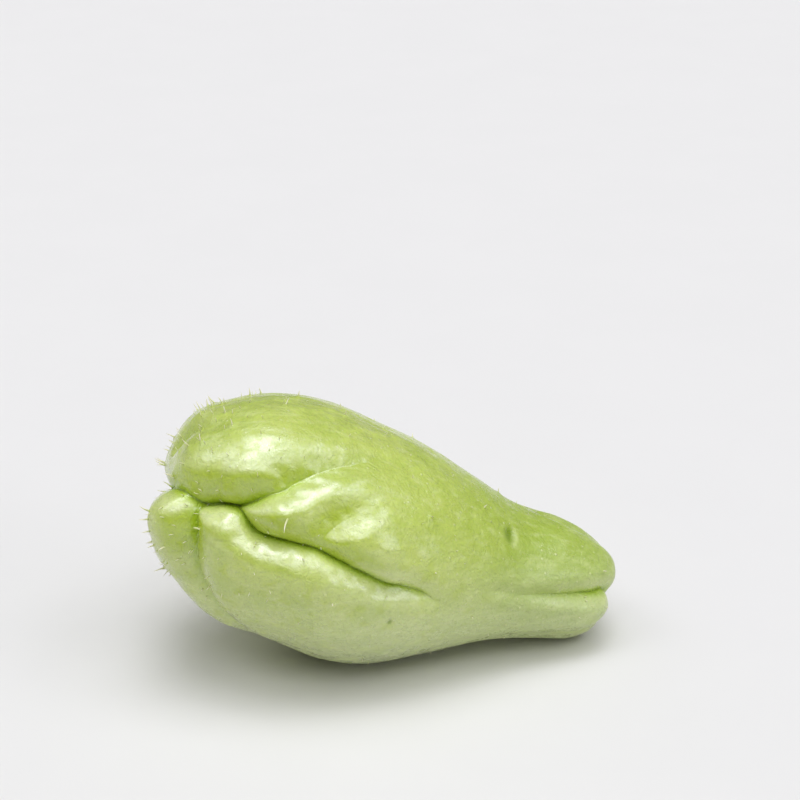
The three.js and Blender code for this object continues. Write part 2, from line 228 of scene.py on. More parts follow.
# Spines as in the solid. The ones in front: distance from the blossom end, degrees round the axis,
# length, lean to the stem end, lean up round the fruit
FRONT_SPINES = [
    (3, 183, 4.6, -0.2, 0), (3, 171, 3.4, 0, 0.3), (2, 146, 3, -0.2, 0.4), (0.6, 162, 3.2, 0, 0),
    (1.2, 41, 2.8, -0.3, 0), (0.8, 26, 3.4, 0, 0.3), (1.2, -6, 4, -0.2, 0.5), (1.4, -15, 3, 0, 0),
    (2, -25, 2.4, -0.2, -0.1), (3, -37, 2.2, 0, -0.2), (8.6, 1, 4.2, 1.6, 0.2), (33, 25, 4.6, -0.2, -1.6),
    (20, 109, 2.2, 0, 0), (9, 102, 3, 0, 0.2), (53, -7, 1.2, 0, 0), (41, 8, 1.2, 0, 0),
    (82, 17, 1, 0, 0), (6, 62, 2, 0.3, 0.6), (14, 70, 1.8, 0, 0.5),
]
# Patches with spines elsewhere: first and last distance from the blossom end, first and last degrees
# round the axis, number of spines, shortest and longest length
SPINE_PATCHES = [
    (1.5, 9, 60, 340, 14, 2, 3.8),
    (9, 20, 80, 235, 9, 1.8, 3.2),
    (20, 44, 70, 210, 7, 1.6, 2.6),
    (44, 90, 40, 200, 5, 1.2, 2),
    (90, 146, 20, 200, 5, 1, 1.6),
]
DRAW_FACTOR = 1664525
DRAW_STEP = 1013904223
DRAW_SPAN = 4294967296
SPINE_SEED = 20
SPINE_LEAN = 0.45
SPINE_ROOT = 0.75
SPINE_CLEARANCE = 11
SPINE_BEND = 0.06
SPINE_TAPER = 0.8
SPINE_BLUNT = 0.03
SPINE_PALING = 1.6
BEND_TURN = 2.4
FOOT_RADIUS = 1.1
FOOT_HEIGHT = 0.3
# Short hairs between the spines, which only the fine model has
HAIR_PATCHES = [
    (0.5, 10, 0, 360, 90, 0.8, 2.0),
    (10, 30, -50, 230, 70, 0.6, 1.5),
    (30, 80, -60, 240, 40, 0.4, 1.0),
    (80, 148, -60, 240, 40, 0.4, 0.9),
]
HAIR_SEED = 77
HAIR_CLEARANCE = 2
HAIR_SIDES = 5
HAIR_RINGS = 4
HAIR_BEND = 0.1

# Marks on the skin: distance from the blossom end, degrees round the axis, length along, width, depth
SCARS = [
    (107, 55, 2.4, 3.2, 0.8),
    (73, -13, 0.9, 1.0, 0.3),
    (66, 150, 1.2, 2.2, 0.6),
    (96, 215, 1.2, 1.4, 0.5),
]
SCAR_FALL = 1.5
# How dark a mark is in its middle, how much less a length further to the stem, and its darkest. The dark is
# the mark's own colour with painted shade on its wall towards the blossom end.
SCAR_DARK = 0.9
SCAR_DARK_LESS = 0.8
SCAR_DARKEST = 0.95
# Painted highlight on a mark's rim towards the stem: its most and its width
SCAR_RIM = 0.4
SCAR_RIM_WIDTH = 0.35

# Relief of the fine skin: shift of its noise, size of the features, how far they are drawn out
WAVES = (0, 13, 1.6)
SMALL_WAVES = (40, 6, 1.8)
RIPPLES = (90, 2.6, 2.2)
PUCKERS = (130, 3.4, 1)
SMALL_WAVES_SHARE = 0.4
# How much higher the ripples and puckers are in a fold and away from it
RIPPLE_GAIN = (1.2, 0.6)
PUCKER_GAIN = (2, 0)
FOLD_NEARNESS = 2.5

# Noises in the skin's colour and gloss: features per metre, detail, roughness, distortion
STREAKS = (420, 3, 0.55, 0)
GRAIN = (900, 4, 0.6, 0)
CRINKLE = (360, 2, 0.5, 1.4)
GLOSS = (210, 5, 0.65, 0)
STREAK_SQUEEZE = 0.18
# Soft patches of two colours: detail and roughness of their noise, softness of their edges
MOTTLE = (5, 0.62)
MOTTLE_SOFTNESS = 0.16
# Changes of the skin: the measure where each starts and ends, and how much there is of it there
# By the place along the lying fruit and by the height over the floor, in metres
NECK_GREENS = (0.005, 0.05, 0, 0.8)
NECK_DULLS = (-0.005, 0.045, 1, 0.3)
# Painted bounce light: the underside paler and greyer, as if lit from the pale floor, fading out upwards
UNDERSIDE_BOUNCE_LIGHT = (0.002, 0.05, 0.92, 0)
# The painted shade on turned-in skin is kept to heights over the mouth
OVER_THE_MOUTH = (0.046, 0.054, 0, 1)
# Raises the height measure along the neck, so the painted bounce light ends lower there
NECK_RISE = 0.1
# By how far the skin faces up, and by how deep it lies in a fold: painted shade on skin turned into the
# folds
TURNED_IN_SHADE = (0.25, 0.62, 0.9, 0)
IN_A_FOLD = (0.02, 0.2, 0, 1)
FOLD_SHADES = (0.4, 1, 0, 0.35)
# By the noises
STREAKS_PALE = (0.45, 0.75, 0, 0.28)
GRAIN_DARK = (0.5, 0.8, 0, 0.4)
WAXY = (0.5, 0.66, 0.88, 0.25)
ROUGH = (0.42, 0.6, 0.25, 0.55)
# How much the other masks cover: pores, flecks, a painted highlight on the lips and painted shade in the
# creases
COVER = {"pores": 0.55, "flecks": 0.4, "lip": 0.5, "crease": 0.92}
# Pores and flecks: spacing and radius in millimetres, share of the places that have one
PORES = {"Spacing": 2.3, "Radius": 0.24, "Share": 0.6}
FLECKS = {"Spacing": 1.7, "Radius": 0.2, "Share": 0.3}
# How much each part counts in the finest relief
FINEST_RELIEF = {"grain": 0.25, "crinkle": 1.15, "pores": 0.4}
BUMP_STRENGTH = 0.8
SPINE_FADE = 0.86
FLOOR_FADE = 0.992

# Soft lights: degrees round the fruit from the front to the right, degrees up, degrees wide, strength
LIGHTS = {
    "side_left": (-112, 44, 26, 0.12),
    "far_left": (-80, 55, 26, 0.42),
    "left": (-24, 52, 26, 0.36),
    "middle": (6, 52, 24, 0.31),
    "right": (32, 56, 24, 0.2),
    "far_right": (56, 46, 24, 0.2),
    "low_right": (54, 17, 24, 0.36),
    "side_right": (80, 53, 24, 0.34),
    "top_left": (-90, 80, 26, 0.5),
    "top_front": (0, 80, 26, 0.62),
    "top_right": (90, 78, 26, 0.5),
    "top_back": (180, 78, 26, 0.34),
}
COOL_WHITE = (0.965, 0.97, 1.14)
CAMERA_AIM = Vector((5.9, 0, 86.3)) * MM

AXIS = np.array((1.0, 0.0, 0.0))


def curve_through(rows, at):
    """A smooth curve through rows of numbers. The first and last row only steer it."""
    rows = np.asarray(rows, float)
    at = np.atleast_1d(at).astype(float)
    i = np.clip(np.floor(at).astype(int), 0, len(rows) - 4)
    f = (at - i)[:, None]
    a, b, c, d = (rows[i + k] for k in range(4))
    return 0.5 * (
        2 * b
        + (c - a) * f
        + (2 * a - 5 * b + 4 * c - d) * f**2
        + (3 * b - a - 3 * c + d) * f**3
    )


SECTION_ROWS = [BEFORE_FIRST, *SECTIONS, AFTER_LAST]
OUTLINE = np.linspace(0, 1, OUTLINE_POINTS)
OUTLINE_X = curve_through(SECTION_ROWS, OUTLINE * (len(SECTIONS) - 1))[:, 0]


def body_points(outline, angle):
    """Points of the smooth body: outline is 0 at the blossom end and 1 at the stem end."""
    x, side, top, bottom = curve_through(SECTION_ROWS, outline * (len(SECTIONS) - 1)).T
    height = np.where(np.sin(angle) > 0, top, bottom)
    return np.stack([x, -side * np.cos(angle), height * np.sin(angle)], axis=1)


def skin_points(x, degrees):
    """Points of the smooth body this far from the blossom end and this far round the axis."""
    outline = np.interp(np.atleast_1d(x), OUTLINE_X, OUTLINE)
    return body_points(outline, np.radians(np.atleast_1d(degrees).astype(float)))


def outward_at(points):
    """The way the skin faces."""
    core = np.zeros_like(points)
    core[:, 0] = np.clip(points[:, 0], CORE_START, CORE_END)
    away = points - core
    return away / np.maximum(np.linalg.norm(away, axis=1), 1e-9)[:, None]


def fold_line(path):
    """A fold's path as points on the smooth body, with its depth and its place along the path."""
    rows = np.asarray(path, float)
    rows = np.column_stack([skin_points(rows[:, 0], rows[:, 1]), rows[:, 2]])
    steered = np.vstack([2 * rows[0] - rows[1], rows, 2 * rows[-1] - rows[-2]])
    count = (len(rows) - 1) * FOLD_STEPS
    line = curve_through(steered, np.arange(count + 1) / FOLD_STEPS)
    return line[:, :3], np.maximum(line[:, 3], 0), np.arange(count + 1) / count


FOLD_LINES = {name: fold_line(fold["path"]) for name, fold in FOLDS.items()}


def near_points(points, line, margin):
    """Which points are within a margin of a line's box."""
    inside = (points > line.min(axis=0) - margin) & (points < line.max(axis=0) + margin)
    return np.nonzero(inside.all(axis=1))[0]


def near_fold(points, outward, line, depth, along):
    """Distance to a fold, with its depth, place, side and direction there. Each stretch counts by the
    integral of 1 / distance ** 4 along it, so the nearest leads and nothing jumps between two."""
    count = len(points)
    weights, depths, places, lefts = (np.zeros(count) for _ in range(4))
    away = np.zeros((count, 3))
    for i in range(len(line) - 1):
        start_at = line[i]
        step = line[i + 1] - start_at
        length = np.linalg.norm(step)
        direction = step / length
        start = (start_at - points) @ direction
        end = start + length
        h2 = np.maximum(((start_at - points) ** 2).sum(axis=1) - start**2, 1e-4)
        h = np.sqrt(h2)
        weight = (end / (end**2 + h2) - start / (start**2 + h2)) / (2 * h2)
        weight += (np.arctan(end / h) - np.arctan(start / h)) / (2 * h2 * h)
        f = np.clip(-start / length, 0, 1)
        across = points - (start_at + f[:, None] * step)
        side = np.einsum("ij,ij->i", np.cross(direction, across), outward)
        weights += weight
        depths += weight * (depth[i] + f * (depth[i + 1] - depth[i]))
        places += weight * (along[i] + f * (along[i + 1] - along[i]))
        lefts += weight * side / np.maximum(np.linalg.norm(across, axis=1), 1e-9)
        away += weight[:, None] * across
    away /= np.maximum(np.linalg.norm(away, axis=1), 1e-9)[:, None]
    return np.cbrt(math.pi / 2 / weights), depths / weights, places / weights, lefts / weights, away


def between(pair, share):
    """From the second of a pair at 0 to the first at 1."""
    return pair[1] + (pair[0] - pair[1]) * share


def skin_over(points):
    """The real skin over points of the smooth body, and how far each is in a fold, in its very
    bottom and on its lips."""
    outward = outward_at(points)
    skin = points.copy()
    cubes, bottom, lips = (np.zeros(len(points)) for _ in range(3))
    for name, fold in FOLDS.items():
        line, depth, along = FOLD_LINES[name]
        near = near_points(points, line, max(fold["reach"]) * REACH_MARGIN)
        if len(near) == 0:
            continue
        away, deep, place, left, across = near_fold(points[near], outward[near], line, depth, along)
        left = np.clip(left * SIDE_SOFTNESS + 0.5, 0, 1)
        share = deep / depth.max()
        reach = between(fold["reach"], left) * (NARROWEST + (1 - NARROWEST) * share)
        u = np.clip((away - fold.get("gap", 0) * share) / reach, 0, 1)
        cut = 1 - (1 - (1 - u) ** FOLD_PUFF) ** (1 / FOLD_PUFF)
        valley = (1 - u * u) ** 2
        sharp = between(fold["sharp"][::-1], place)
        cubes[near] += (deep * (valley + (cut - valley) * sharp)) ** 3
        lip = LIP_PEAK * u * (1 - u) ** 2
        brow = BROW_PEAK * (u * (1 - u)) ** 2
        skin[near] -= across * (between(fold.get("lean", NEITHER), left) * share * lip)[:, None]
        skin[near] += outward[near] * (between(fold.get("rise", NEITHER), left) * share * brow)[:, None]
        # Masks for the painted shade at a fold's very bottom and the painted highlight on its lips
        strength = np.clip(deep / CREASE_DEPTH, 0, 1) * sharp
        bottom[near] = np.maximum(bottom[near], strength * np.exp(-((away / CREASE_WIDTH) ** 2)))
        lips[near] = np.maximum(lips[near], strength * lip)
    sunk = np.cbrt(cubes)
    skin -= outward * sunk[:, None]
    for x, degrees, radius, height in SWELLINGS:
        fall = ((points - skin_points(x, degrees)) ** 2).sum(axis=1) / radius**2
        skin += outward * (height * np.exp(-SWELLING_FALL * fall))[:, None]
    return skin, {"fold": sunk / FOLD_DEPTH, "crease": bottom, "lip": lips}


def crowd(points):
    """Draws the points near a fold towards the nearest one, so that the facets are smallest there."""
    best = np.full(len(points), float(CROWDED_WITHIN))
    foot = points.copy()
    deep = np.zeros(len(points))
    for line, depth, _ in FOLD_LINES.values():
        near = near_points(points, line, CROWDED_WITHIN)
        here = points[near]
        for i in range(len(line) - 1):
            step = line[i + 1] - line[i]
            f = np.clip((here - line[i]) @ step / (step @ step), 0, 1)
            on_line = line[i] + f[:, None] * step
            distance = np.linalg.norm(here - on_line, axis=1)
            closer = distance < best[near]
            best[near[closer]] = distance[closer]
            foot[near[closer]] = on_line[closer]
            deep[near[closer]] = (depth[i] + f * (depth[i + 1] - depth[i]))[closer]
    moved = (best < CROWDED_WITHIN) & (best > 1e-3)
    power = 1 + (CROWDING_POWER - 1) * np.clip(deep[moved] / CROWDING_DEPTH, 0, 1)
    drawn = CROWDED_WITHIN * (best[moved] / CROWDED_WITHIN) ** power
    points[moved] = foot[moved] + (points - foot)[moved] * (drawn / best[moved])[:, None]
    return points


def laid(points):
    """From the fruit's own axis to how it lies, before it is lifted onto the floor."""
    turn = math.radians(TIP_DOWN)
    x, y, z = (points - TURNING_POINT * AXIS).T
    return np.stack([
        x * math.cos(turn) + z * math.sin(turn) - MIDDLE[0],
        y - MIDDLE[1],
        z * math.cos(turn) - x * math.sin(turn),
    ], axis=1)


def ball_grid(along, around):
    """Even directions over a ball, from a box's grid blown up to it, and the quads between them."""
    steps = (along, around, around)
    points, quads, count = [], [], 0
    for axis in range(3):
        for sign in (-1, 1):
            b, c = (axis + 1) % 3, (axis + 2) % 3
            grid = np.zeros((steps[b] + 1, steps[c] + 1, 3))
            grid[..., axis] = sign
            grid[..., b] = np.linspace(-1, 1, steps[b] + 1)[:, None]
            grid[..., c] = np.linspace(-1, 1, steps[c] + 1)[None, :]
            index = count + np.arange(grid[..., 0].size).reshape(grid.shape[:2])
            corners = [index[:-1, :-1], index[1:, :-1], index[1:, 1:], index[:-1, 1:]]
            quads.append(np.stack(corners[::sign], axis=-1).reshape(-1, 4))
            points.append(grid.reshape(-1, 3))
            count += grid[..., 0].size
    points = np.round(np.vstack(points), 9)
    merged, index = np.unique(points, axis=0, return_inverse=True)
    ball = np.tan(merged * math.pi / 4)
    ball /= np.linalg.norm(ball, axis=1)[:, None]
    return ball, index.reshape(-1)[np.vstack(quads)]


def noise_at(points, shift, size, drawn_out):
    """Soft noise from 0 to 1 over points, with features of this size, drawn out along the fruit."""
    scaled = (points + shift) / size / np.array((drawn_out, 1.0, 1.0))
    return 0.5 - 0.5 * np.array([noise.noise(Vector(p)) for p in scaled.tolist()])


def draws(seed):
    """Seeded draws between 0 and 1, the same as in the solid."""
    state = seed
    while True:
        state = (state * DRAW_FACTOR + DRAW_STEP) % DRAW_SPAN
        yield state / DRAW_SPAN


def spine_starts(patches, seed):
    """Where the spines of some patches of skin start, with their length and lean."""
    draw = draws(seed)
    starts = []
    for x0, x1, a0, a1, count, shortest, longest in patches:
        for i in range(count):
            x = x0 + (x1 - x0) * next(draw)
            degrees = a0 + (a1 - a0) * (i + next(draw)) / count
            length = shortest + (longest - shortest) * next(draw)
            leans = [SPINE_LEAN * (2 * next(draw) - 1) for _ in range(2)]
            starts.append((x, degrees, length, *leans))
    return starts


def spine_rows(starts, lift, clearance):
    """Root, tip and smooth point of each spine, in millimetres."""
    rows = []
    for x, degrees, length, to_stem, up in starts:
        smooth = skin_points(x, degrees)
        turn = math.radians(degrees)
        direction = outward_at(smooth) + to_stem * AXIS + up * np.array((0, math.sin(turn), math.cos(turn)))
        direction /= np.linalg.norm(direction)
        skin, _ = skin_over(smooth)
        root, tip = (laid(p)[0] + (0, 0, lift) for p in (skin, skin + direction * length))
        if tip[2] > clearance:
            rows.append((root, tip, smooth[0]))
    return rows


def all_spines(lift):
    """The spines that the solid has too."""
    return spine_rows(FRONT_SPINES + spine_starts(SPINE_PATCHES, SPINE_SEED), lift, SPINE_CLEARANCE)


class ChayoteSkinSettings(PropertyGroup):
    """Relief and colours of the skin."""

    wave_height: FloatProperty(
        name="Waves", description="Height of the soft waves of the skin",
        default=0.45 * MM, min=0, unit="LENGTH", precision=5,
    )
    ripple_height: FloatProperty(
        name="Ripples", description="Height of the fine ripples of the skin",
        default=0.4 * MM, min=0, unit="LENGTH", precision=5,
    )
    pore_height: FloatProperty(
        name="Pores", description="Height of the pores and the finest grain",
        default=0.5 * MM, min=0, unit="LENGTH", precision=5,
    )
    upper_colour: FloatVectorProperty(
        name="Upper colour", description="Yellow-green of the sunny side",
        default=linear(188, 204, 91), subtype="COLOR", size=3,
    )
    fresh_colour: FloatVectorProperty(
        name="Fresh colour", description="Stronger green of the patches between",
        default=linear(176, 195, 76), subtype="COLOR", size=3,
    )
    neck_colour: FloatVectorProperty(
        name="Neck colour", description="Fuller green of the neck",
        default=linear(151, 174, 57), subtype="COLOR", size=3,
    )
    # Painted bounce light: paler, greyer green on the underside, as lit from the floor
    underside_bounce_colour: FloatVectorProperty(
        name="Low colour", description="Greyer green of the underside",
        default=linear(201, 212, 156), subtype="COLOR", size=3,
    )
    # Painted shade: fuller green where the skin turns down into the folds and lies deep in them
    shade_colour: FloatVectorProperty(
        name="Shade colour", description="Fuller green of the skin turned into the folds",
        default=linear(170, 192, 24), subtype="COLOR", size=3,
    )
    # Painted shade: darker, fuller green at the very bottom of the folds
    crease_shade_colour: FloatVectorProperty(
        name="Fold colour", description="Deep green at the bottom of the folds",
        default=linear(166, 196, 14), subtype="COLOR", size=3,
    )
    # The marks' own deep green, which also paints shade on their walls towards the blossom end
    scar_and_shade_colour: FloatVectorProperty(
        name="Scar colour", description="Deep green of the marks on the skin",
        default=linear(120, 146, 20), subtype="COLOR", size=3,
    )
    # Painted highlight: paler green on the lips of the folds, also used on the marks' rims
    lip_highlight_colour: FloatVectorProperty(
        name="Lip colour", description="Pale green on the lips of the folds",
        default=linear(212, 222, 150), subtype="COLOR", size=3,
    )
    dot_colour: FloatVectorProperty(
        name="Dot colour", description="Pale pores",
        default=linear(222, 230, 160), subtype="COLOR", size=3,
    )
    fleck_colour: FloatVectorProperty(
        name="Fleck colour", description="Dark flecks",
        default=linear(128, 152, 50), subtype="COLOR", size=3,
    )


class ChayoteSpineSettings(PropertyGroup):
    """Thickness and colour of the spines and hairs."""

    spine_radius: FloatProperty(
        name="Spine radius", description="Radius of a spine at the skin",
        default=0.3 * MM, min=0, unit="LENGTH", precision=5,
    )
    hair_radius: FloatProperty(
        name="Hair radius", description="Radius of a hair at the skin",
        default=0.14 * MM, min=0, unit="LENGTH", precision=5,
    )
    sides: IntProperty(name="Sides", description="Sides of a spine", default=8, min=3, max=16)
    rings: IntProperty(name="Rings", description="Rings along a spine", default=7, min=2, max=16)
    tip_colour: FloatVectorProperty(
        name="Tip colour", description="Straw colour of the spines",
        default=linear(240, 236, 196), subtype="COLOR", size=3,
    )
    root_colour: FloatVectorProperty(
        name="Root colour", description="Green where a spine leaves the skin",
        default=linear(196, 208, 120), subtype="COLOR", size=3,
    )


class ChayoteStageSettings(PropertyGroup):
    """Floor, lights and camera."""

    floor_size: FloatProperty(
        name="Floor", description="Width of the floor", default=12, min=1, unit="LENGTH",
    )
    floor_colour: FloatVectorProperty(
        name="Floor colour", description="Pale floor",
        default=linear(220, 219, 207), subtype="COLOR", size=3,
    )
    azimuth: FloatProperty(
        name="Camera azimuth", description="Direction the camera looks from, round the fruit",
        default=math.radians(-8), unit="ROTATION",
    )
    elevation: FloatProperty(
        name="Camera elevation", description="Height of the camera over the fruit",
        default=math.radians(23.5), unit="ROTATION",
    )
    distance: FloatProperty(
        name="Camera distance", description="From the camera to its aim",
        default=0.58, min=0.1, unit="LENGTH",
    )
    lens: FloatProperty(
        name="Lens", description="Focal length of the camera", default=85, min=10, unit="CAMERA",
    )
    light: FloatProperty(
        name="Light", description="Strength of all the soft lights together", default=0.945, min=0,
    )
    surround: FloatProperty(
        name="Surround", description="Strength of the pale surround", default=0.17, min=0,
    )


def add_node(tree, kind, values=None, **settings):
    """A shader node with its settings and inputs. A socket given as a value is linked."""
    made = tree.nodes.new(kind)
    for name, value in settings.items():
        setattr(made, name, value)
    for name, value in (values or {}).items():
        if isinstance(value, bpy.types.NodeSocket):
            tree.links.new(value, made.inputs[name])
        else:
            made.inputs[name].default_value = value
    return made


def rgba(colour):
    return (*colour, 1.0)


def add_mix(tree, factor, first, second):
    """The mix of two colours, each a socket or a plain colour."""
    return add_node(tree, "ShaderNodeMix", {0: factor, 6: first, 7: second}, data_type="RGBA").outputs[2]


def add_math(tree, operation, first, second, added=0.0):
    """The result of a sum on numbers, each a socket or a plain number."""
    return add_node(tree, "ShaderNodeMath", {0: first, 1: second, 2: added}, operation=operation).outputs[0]


def add_range(tree, value, low, high, to_low=0.0, to_high=1.0):
    """A number brought from one range to another, smoothly and never past its ends."""
    values = {"Value": value, "From Min": low, "From Max": high, "To Min": to_low, "To Max": to_high}
    return add_node(tree, "ShaderNodeMapRange", values, interpolation_type="SMOOTHSTEP").outputs[0]


def noise_over(tree, place, scale, detail, roughness, distortion=0.0):
    """Noise from 0 to 1, with its scale in features per metre."""
    values = {
        "Vector": place, "Scale": scale, "Detail": detail, "Roughness": roughness, "Distortion": distortion,
    }
    return add_node(tree, "ShaderNodeTexNoise", values).outputs["Fac"]


def new_group(name, inputs, outputs):
    """An empty node group with its named sockets, and its input and output nodes."""
    group = bpy.data.node_groups.new(name, "ShaderNodeTree")
    for label, kind, default in inputs:
        socket = group.interface.new_socket(label, in_out="INPUT", socket_type=kind)
        socket.default_value = default
    for label, kind in outputs:
        group.interface.new_socket(label, in_out="OUTPUT", socket_type=kind)
    return group, group.nodes.new("NodeGroupInput"), group.nodes.new("NodeGroupOutput")


def mottle_group():
    """Soft patches of two colours, with a finer grain in them."""
    group, given, result = new_group(
        "Mottle",
        [("First", "NodeSocketColor", (1, 1, 1, 1)), ("Second", "NodeSocketColor", (0, 0, 0, 1)),
         ("Size", "NodeSocketFloat", 10.0), ("Balance", "NodeSocketFloat", 0.5)],
        [("Colour", "NodeSocketColor")],
    )
    place = add_node(group, "ShaderNodeTexCoord").outputs["Object"]
    scale = add_math(group, "DIVIDE", 1.0 / MM, given.outputs["Size"])
    patches = noise_over(group, place, scale, *MOTTLE)
    low = add_math(group, "SUBTRACT", given.outputs["Balance"], MOTTLE_SOFTNESS)
    high = add_math(group, "ADD", given.outputs["Balance"], MOTTLE_SOFTNESS)
    mask = add_range(group, patches, low, high)
    mixed = add_mix(group, mask, given.outputs["First"], given.outputs["Second"])
    group.links.new(mixed, result.inputs["Colour"])
    return group


def dots_group():
    """Scattered round dots of one size, as a mask."""
    group, given, result = new_group(
        "Dots",
        [("Spacing", "NodeSocketFloat", 2.5), ("Radius", "NodeSocketFloat", 0.15),
         ("Share", "NodeSocketFloat", 0.5)],
        [("Mask", "NodeSocketFloat")],
    )
    place = add_node(group, "ShaderNodeTexCoord").outputs["Object"]
    scale = add_math(group, "DIVIDE", 1.0 / MM, given.outputs["Spacing"])
    cells = add_node(group, "ShaderNodeTexVoronoi", {"Vector": place, "Scale": scale})
    soft = add_math(group, "MULTIPLY", given.outputs["Radius"], 0.5)
    near = add_range(group, cells.outputs["Distance"], soft, given.outputs["Radius"], 1.0, 0.0)
    split = add_node(group, "ShaderNodeSeparateColor", {0: cells.outputs["Color"]})
    kept = add_math(group, "LESS_THAN", split.outputs[0], given.outputs["Share"])
    uneven = add_math(group, "MULTIPLY", kept, split.outputs[1])
    group.links.new(add_math(group, "MULTIPLY", near, uneven), result.inputs["Mask"])
    return group


def group_node(tree, group, values):
    return add_node(tree, "ShaderNodeGroup", values, node_tree=group)


def attribute(tree, name):
    return add_node(tree, "ShaderNodeAttribute", attribute_name=name).outputs["Fac"]


def new_material(name, values):
    """A material with one Principled shader and its plain values."""
    material = bpy.data.materials.new(name)
    material.use_nodes = True
    shader = material.node_tree.nodes["Principled BSDF"]
    for label, value in values.items():
        shader.inputs[label].default_value = value
    return material, material.node_tree, shader


def skin_colour(tree, settings, mottle, where, noises, marks):
    """Patchy yellow-green, covered in turn by the neck, the underside's painted bounce light, the grain,
    and the folds' painted shade and highlights.
    """
    position = add_node(tree, "ShaderNodeSeparateXYZ", {0: where["Object"]}).outputs
    faces_up = add_node(tree, "ShaderNodeSeparateXYZ", {0: where["Normal"]}).outputs["Z"]
    fold = attribute(tree, "fold")
    neck_rise = add_math(tree, "MULTIPLY", add_math(tree, "MAXIMUM", position["X"], 0.0), NECK_RISE)
    height = add_math(tree, "ADD", position["Z"], neck_rise)
    turned_in_shade = add_range(tree, faces_up, *TURNED_IN_SHADE)
    for limit in (add_range(tree, position["Z"], *OVER_THE_MOUTH), add_range(tree, fold, *IN_A_FOLD)):
        turned_in_shade = add_math(tree, "MULTIPLY", turned_in_shade, limit)
    colour = group_node(tree, mottle, {
        "First": rgba(settings.fresh_colour), "Second": rgba(settings.upper_colour),
        "Size": 16.0, "Balance": 0.46,
    }).outputs["Colour"]
    layers = (
        (add_range(tree, position["X"], *NECK_GREENS), settings.neck_colour),
        (add_range(tree, height, *UNDERSIDE_BOUNCE_LIGHT), settings.underside_bounce_colour),
        (add_range(tree, noises["streaks"], *STREAKS_PALE), settings.dot_colour),
        (add_range(tree, noises["grain"], *GRAIN_DARK), settings.fleck_colour),
        (add_math(tree, "MULTIPLY", marks["pores"], COVER["pores"]), settings.dot_colour),
        (add_math(tree, "MULTIPLY", marks["flecks"], COVER["flecks"]), settings.fleck_colour),
        (add_math(tree, "MULTIPLY", attribute(tree, "lip"), COVER["lip"]), settings.lip_highlight_colour),
        (turned_in_shade, settings.shade_colour),
        (add_range(tree, fold, *FOLD_SHADES), settings.shade_colour),
        (add_math(tree, "MULTIPLY", attribute(tree, "crease"), COVER["crease"]), settings.crease_shade_colour),
        (attribute(tree, "scar_highlight_rim"), settings.lip_highlight_colour),
        (attribute(tree, "scar_and_shade"), settings.scar_and_shade_colour),
    )
    for mask, over in layers:
        colour = add_mix(tree, mask, colour, rgba(over))
    return colour


def skin_coat(tree, place, gloss):
    """How waxy the skin is: patchy, and duller on the neck."""
    x = add_node(tree, "ShaderNodeSeparateXYZ", {0: place}).outputs["X"]
    return add_math(tree, "MULTIPLY", add_range(tree, gloss, *WAXY), add_range(tree, x, *NECK_DULLS))


def skin_bump(tree, settings, parts):
    """The way the skin faces, with its finest relief: grain, crinkles and pores."""
    relief = 0.0
    for name, share in FINEST_RELIEF.items():
        relief = add_math(tree, "MULTIPLY_ADD", parts[name], share, added=relief)
    values = {"Strength": BUMP_STRENGTH, "Distance": settings.pore_height, "Height": relief}
    return add_node(tree, "ShaderNodeBump", values).outputs["Normal"]


def skin_material(settings, mottle, dots):
    """Waxy skin: patchy yellow-green, pale pores, dark flecks, painted shade in the folds and painted
    highlights on their lips.
    """
    material, tree, shader = new_material("waxy_skin", {
        "Subsurface Weight": 0.15,
        "Subsurface Radius": (0.7, 1.0, 0.25),
        "Subsurface Scale": 0.003,
        "Specular IOR Level": 0.5,
        "Coat Roughness": 0.25,
        "Coat IOR": 1.9,
    })
    where = add_node(tree, "ShaderNodeTexCoord").outputs
    place = where["Object"]
    lengthwise = {
        "Vector": place, "Rotation": (0, math.radians(TIP_DOWN), 0), "Scale": (STREAK_SQUEEZE, 1.0, 1.0),
    }
    drawn_out = add_node(tree, "ShaderNodeMapping", lengthwise).outputs[0]
    noises = {
        "streaks": noise_over(tree, drawn_out, *STREAKS),
        "grain": noise_over(tree, place, *GRAIN),
        "crinkle": noise_over(tree, place, *CRINKLE),
        "gloss": noise_over(tree, place, *GLOSS),
    }
    marks = {
        "pores": group_node(tree, dots, PORES).outputs["Mask"],
        "flecks": group_node(tree, dots, FLECKS).outputs["Mask"],
    }
    looks = {
        "Base Color": skin_colour(tree, settings, mottle, where, noises, marks),
        "Roughness": add_range(tree, noises["gloss"], *ROUGH),
        "Coat Weight": skin_coat(tree, place, noises["gloss"]),
        "Normal": skin_bump(tree, settings, {**noises, **marks}),
    }
    for name, socket in looks.items():
        tree.links.new(socket, shader.inputs[name])
    return material


def spine_material(settings, mottle):
    """Straw-coloured spines, green where they leave the skin."""
    material, tree, shader = new_material("straw_spine", {
        "Roughness": 0.45,
        "Subsurface Weight": 0.2,
        "Subsurface Radius": (1.0, 0.9, 0.5),
        "Subsurface Scale": 0.0006,
    })
    faded = tuple(v * SPINE_FADE for v in settings.tip_colour)
    patches = group_node(tree, mottle, {
        "First": rgba(settings.tip_colour), "Second": rgba(faded), "Size": 1.5, "Balance": 0.5,
    })
    toward_tip = attribute(tree, "toward_tip")
    colour = add_mix(tree, toward_tip, rgba(settings.root_colour), patches.outputs["Colour"])
    tree.links.new(colour, shader.inputs["Base Color"])
    return material


def floor_material(settings, mottle):
    """Plain pale floor with the faintest patches."""
    material, tree, shader = new_material("pale_floor", {"Roughness": 0.9, "Specular IOR Level": 0.1})
    faded = tuple(v * FLOOR_FADE for v in settings.floor_colour)
    patches = group_node(tree, mottle, {
        "First": rgba(settings.floor_colour), "Second": rgba(faded), "Size": 60.0, "Balance": 0.5,
    })
    tree.links.new(patches.outputs["Colour"], shader.inputs["Base Color"])
    return material


